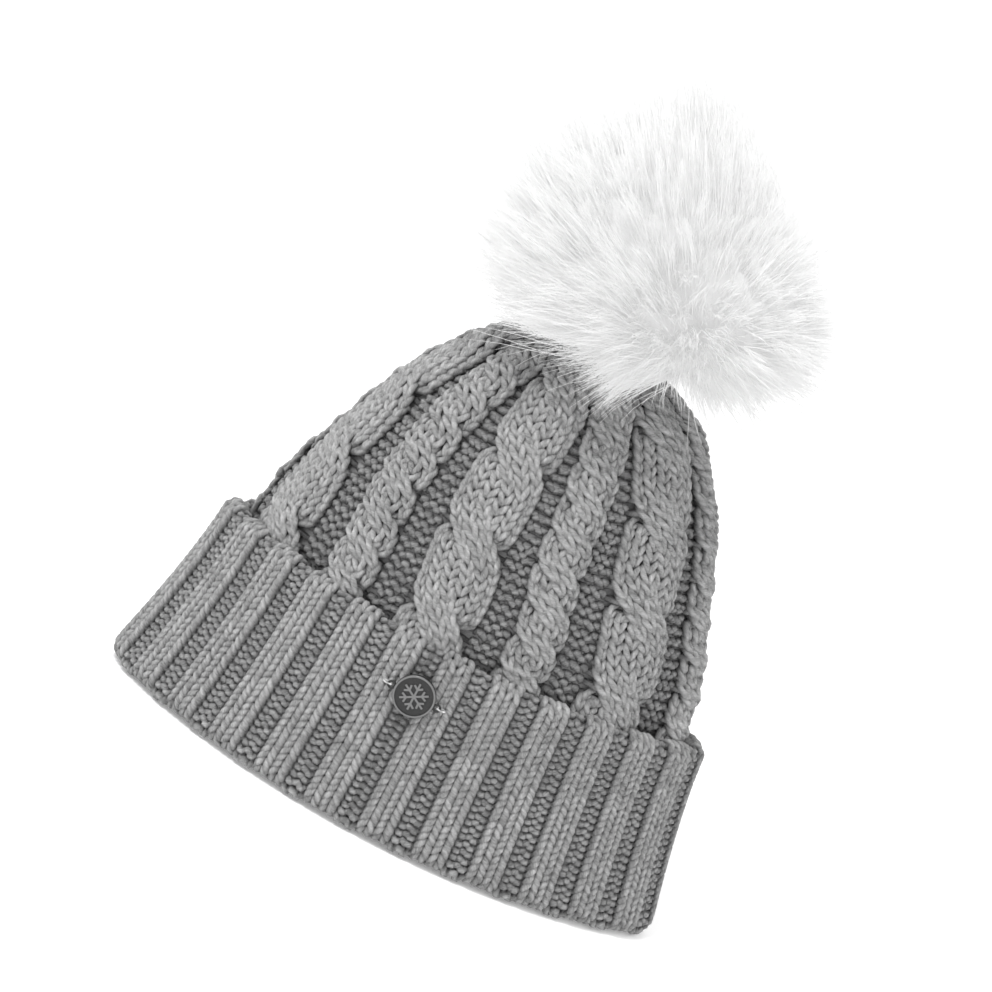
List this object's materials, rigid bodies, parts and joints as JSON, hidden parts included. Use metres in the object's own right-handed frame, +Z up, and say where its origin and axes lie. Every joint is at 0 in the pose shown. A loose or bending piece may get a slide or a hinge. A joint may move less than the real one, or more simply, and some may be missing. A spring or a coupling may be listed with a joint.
{
  "type": "knitted bobble hat",
  "caption": "Cable-knit winter hat with a turned-up ribbed cuff, a faux-fur pom on a thread tie, a sewn-on round metal badge and an inside care label.",
  "frame": {"origin": "on the table plane, under the middle of the hat as it stands on its folded hem", "axes": "+Z up from the hem to the pom, front with the badge towards -Y, +X to the right when the badge is looked at"},
  "size_m": [0.2382, 0.132, 0.309],
  "materials": {
    "cable_knit": "matte",
    "rib_knit": "matte",
    "rib_lining": "matte",
    "seam_yarn": "matte",
    "tie_thread": "matte",
    "fur": "matte",
    "fur_backing": "matte",
    "fibre_fill": "matte",
    "button_plastic": "gloss",
    "badge_metal": "satin",
    "badge_thread": "satin",
    "label_satin": "satin"
  },
  "bodies": {
    "hat": {"knit_body": "cable_knit", "turned_cuff": "rib_knit", "rib_band": "rib_lining", "body_seam": "seam_yarn", "rib_seam": "seam_yarn", "cuff_tacks": "seam_yarn", "crown_gather_yarn": "seam_yarn", "crown_button": "button_plastic", "crown_tie": "tie_thread", "badge_stitch_left": "badge_thread", "badge_stitch_right": "badge_thread", "label_tab": "label_satin", "label_stitches": "badge_thread"},
    "pom_link": {"middle_tie": "tie_thread"},
    "pom_stem": {"pom_tie": "tie_thread", "pom_anchor_disc": "button_plastic"},
    "pom": {"pom_filling": "fibre_fill", "pom_backing": "fur_backing", "pom_gather_thread": "tie_thread", "pom_fur": "fur"},
    "badge": {"badge": "badge_metal"},
    "care_label": {"care_label": "label_satin"}
  },
  "joints": [
    {"name": "pom_nod", "type": "hinge", "parent": "hat", "child": "pom_link", "pos_m": [0, 0, 0.2032], "axis": [1, 0, 0], "range_deg": [-20, 20], "stiffness_Nm_per_rad": 0.12},
    {"name": "pom_sway", "type": "hinge", "parent": "pom_link", "child": "pom_stem", "pos_m": [0, 0, 0.2084], "axis": [0, 1, 0], "range_deg": [-20, 20], "stiffness_Nm_per_rad": 0.12},
    {"name": "pom_twist", "type": "hinge", "parent": "pom_stem", "child": "pom", "pos_m": [0, 0, 0.222], "axis": [0, 0, 1], "range_deg": [-40, 40], "stiffness_Nm_per_rad": 0.01},
    {"name": "badge_rock", "type": "hinge", "parent": "hat", "child": "badge", "pos_m": [-0.0055, -0.0614, 0.0602], "axis": [1, 0, 0], "range_deg": [-6, 6], "stiffness_Nm_per_rad": 0.001},
    {"name": "label_flip", "type": "hinge", "parent": "hat", "child": "care_label", "pos_m": [0, 0.04335, 0.062], "axis": [-1, 0, 0], "range_deg": [0, 70]}
  ]
}
